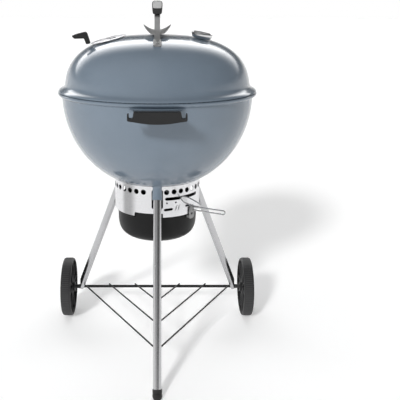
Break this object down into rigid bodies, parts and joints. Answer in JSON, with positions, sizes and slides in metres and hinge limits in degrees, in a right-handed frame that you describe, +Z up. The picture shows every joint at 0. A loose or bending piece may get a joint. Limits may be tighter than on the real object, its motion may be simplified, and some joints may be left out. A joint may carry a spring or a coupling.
{
  "type": "kettle charcoal grill",
  "caption": "Round enamelled kettle grill with a domed lid on a tripod with wheels and a wire shelf, with a hanging ash pot, sweeper lever, lid vent and lid thermometer",
  "frame": {"origin": "on the floor, under the axis of the kettle", "axes": "+Z up along the kettle's axis, -Y towards the front leg and front handle, +X towards the lid thermometer"},
  "size_m": [0.6558, 0.7316, 1.07],
  "materials": {
    "slate_enamel": "glossy slate-grey porcelain enamel on steel",
    "aluminium": "satin aluminium",
    "pot_paint": "dark painted steel pan",
    "black_nylon": "black glass-filled nylon",
    "wheel_plastic": "black moulded polyethylene",
    "black_wire": "black coated steel wire",
    "zinc_wire": "bright plated steel wire",
    "strap_steel": "dark grey steel strip",
    "chrome": "polished bezel",
    "grate_steel": "plated steel rod",
    "dial_white": "white printed dial",
    "lens": "clear lens",
    "cap_grey": "grey metal end plate"
  },
  "bodies": {
    "stand": {"bowl_shell": "slate_enamel", "leg_socket_front": "slate_enamel", "leg_socket_left": "slate_enamel", "leg_socket_right": "slate_enamel", "front_handle_bracket": "slate_enamel", "rear_handle_bracket": "slate_enamel", "grate_tab_1": "slate_enamel", "grate_tab_2": "slate_enamel", "grate_tab_3": "slate_enamel", "grate_tab_4": "slate_enamel", "front_leg": "aluminium", "rear_leg_left": "aluminium", "rear_leg_right": "aluminium", "ash_ring": "aluminium", "front_foot": "black_nylon", "rear_leg_plug_left": "black_nylon", "rear_leg_plug_right": "black_nylon", "axle_sleeve_left": "black_nylon", "axle_sleeve_right": "black_nylon", "axle_cap_left": "black_nylon", "axle_cap_right": "black_nylon", "front_handle": "black_nylon", "rear_handle": "black_nylon", "axle": "black_wire", "wire_rack": "black_wire", "charcoal_grate": "grate_steel", "cooking_grate": "grate_steel"},
    "lid": {"lid_shell": "slate_enamel", "lid_handle_strap": "strap_steel", "lid_handle_grip": "black_nylon", "lid_handle_cap_front": "cap_grey", "lid_handle_cap_rear": "cap_grey", "lid_heat_shield": "strap_steel", "lid_damper_rivet": "aluminium", "thermometer_case": "chrome", "thermometer_dial": "dial_white", "thermometer_lens": "lens", "thermometer_probe": "grate_steel"},
    "damper": {"lid_damper": "aluminium", "lid_damper_tab": "black_nylon"},
    "pointer": {"thermometer_pointer": "black_nylon"},
    "sweeper": {"sweeper_shaft": "strap_steel", "sweeper_blade_1": "strap_steel", "sweeper_blade_2": "strap_steel", "sweeper_blade_3": "strap_steel", "sweeper_handle": "zinc_wire"},
    "ash_pot": {"ash_pot": "pot_paint", "ash_pot_latch": "strap_steel", "ash_pot_handle": "zinc_wire"},
    "wheel_left": {"wheel_left": "wheel_plastic"},
    "wheel_right": {"wheel_right": "wheel_plastic"},
    "flap_left": {"grate_flap_left": "grate_steel"},
    "flap_right": {"grate_flap_right": "grate_steel"}
  },
  "joints": [
    {"name": "lid_lift", "type": "slide", "parent": "stand", "child": "lid", "axis": [0, 0, 1], "range_m": [0, 0.3]},
    {"name": "damper_turn", "type": "hinge", "parent": "lid", "child": "damper", "pos_m": [-0.1405, -0.04, 0.96299], "axis": [-0.2339, -0.0666, 0.97], "range_deg": [0, 60]},
    {"name": "pointer_turn", "type": "hinge", "parent": "lid", "child": "pointer", "pos_m": [0.126, -0.045, 0.96582], "axis": [0.1937, -0.0692, 0.9786], "range_deg": [-270, 0]},
    {"name": "sweeper_turn", "type": "hinge", "parent": "stand", "child": "sweeper", "pos_m": [0, 0, 0.5], "axis": [0, 0, 1], "range_deg": [-18, 29]},
    {"name": "ash_pot_drop", "type": "slide", "parent": "stand", "child": "ash_pot", "axis": [0, 0, -1], "range_m": [0, 0.2]},
    {"name": "wheel_left_roll", "type": "hinge", "parent": "stand", "child": "wheel_left", "pos_m": [-0.3109, 0.15515, 0.1], "axis": [1, 0, 0], "continuous": true},
    {"name": "wheel_right_roll", "type": "hinge", "parent": "stand", "child": "wheel_right", "pos_m": [0.3109, 0.15515, 0.1], "axis": [1, 0, 0], "continuous": true},
    {"name": "flap_left_lift", "type": "hinge", "parent": "stand", "child": "flap_left", "pos_m": [-0.155, 0, 0.776], "axis": [0, 1, 0], "range_deg": [0, 90]},
    {"name": "flap_right_lift", "type": "hinge", "parent": "stand", "child": "flap_right", "pos_m": [0.155, 0, 0.776], "axis": [0, -1, 0], "range_deg": [0, 90]}
  ]
}
